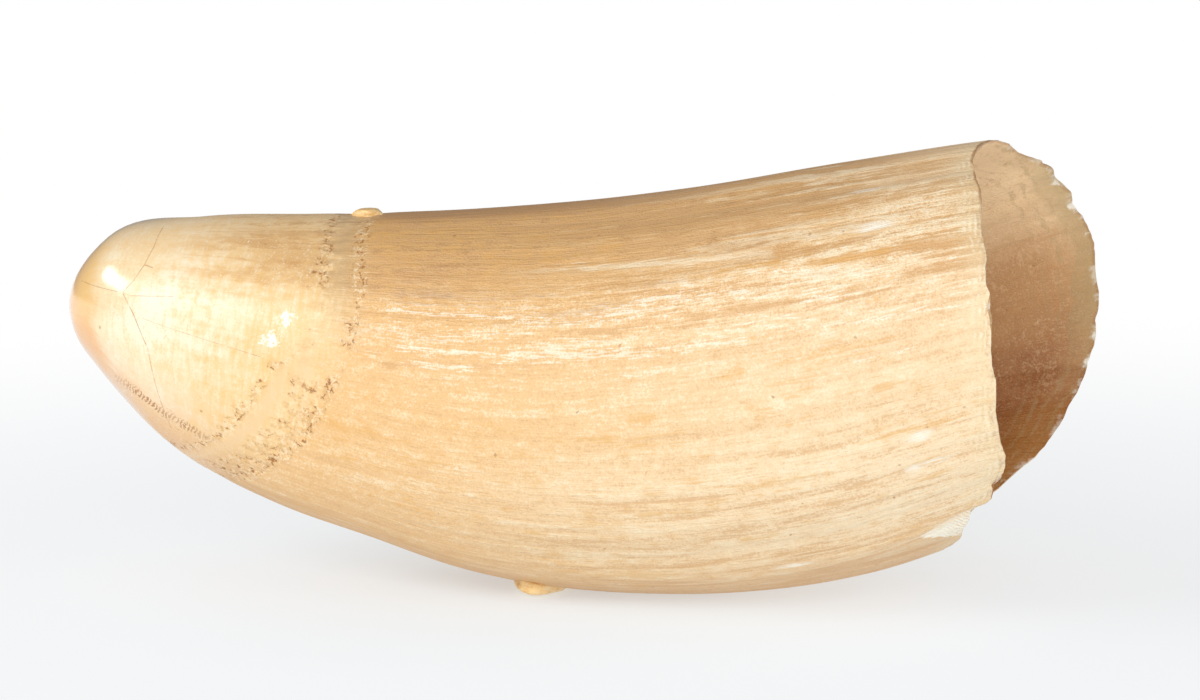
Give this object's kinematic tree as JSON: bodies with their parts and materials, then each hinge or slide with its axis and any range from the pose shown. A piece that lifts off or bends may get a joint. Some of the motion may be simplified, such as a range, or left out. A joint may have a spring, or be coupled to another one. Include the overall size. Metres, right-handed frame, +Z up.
{
  "type": "whale tooth",
  "caption": "Curved whale tooth with a smooth rounded crown, a ridged root and an open conical pulp cavity at the root end; it stands on its convex edge.",
  "frame": {"origin": "centre of the bounding box in plan, on the floor the tooth stands on", "axes": "+X points from the tip to the open root, +Z up, and the tooth's curve lies in the XZ plane"},
  "size_m": [0.1703, 0.0721, 0.075],
  "materials": {
    "tooth": "aged dentine and cementum: polished cream crown, satin golden-tan root with lengthwise streaks"
  },
  "bodies": {
    "root": {"tooth": "tooth"}
  },
  "joints": []
}
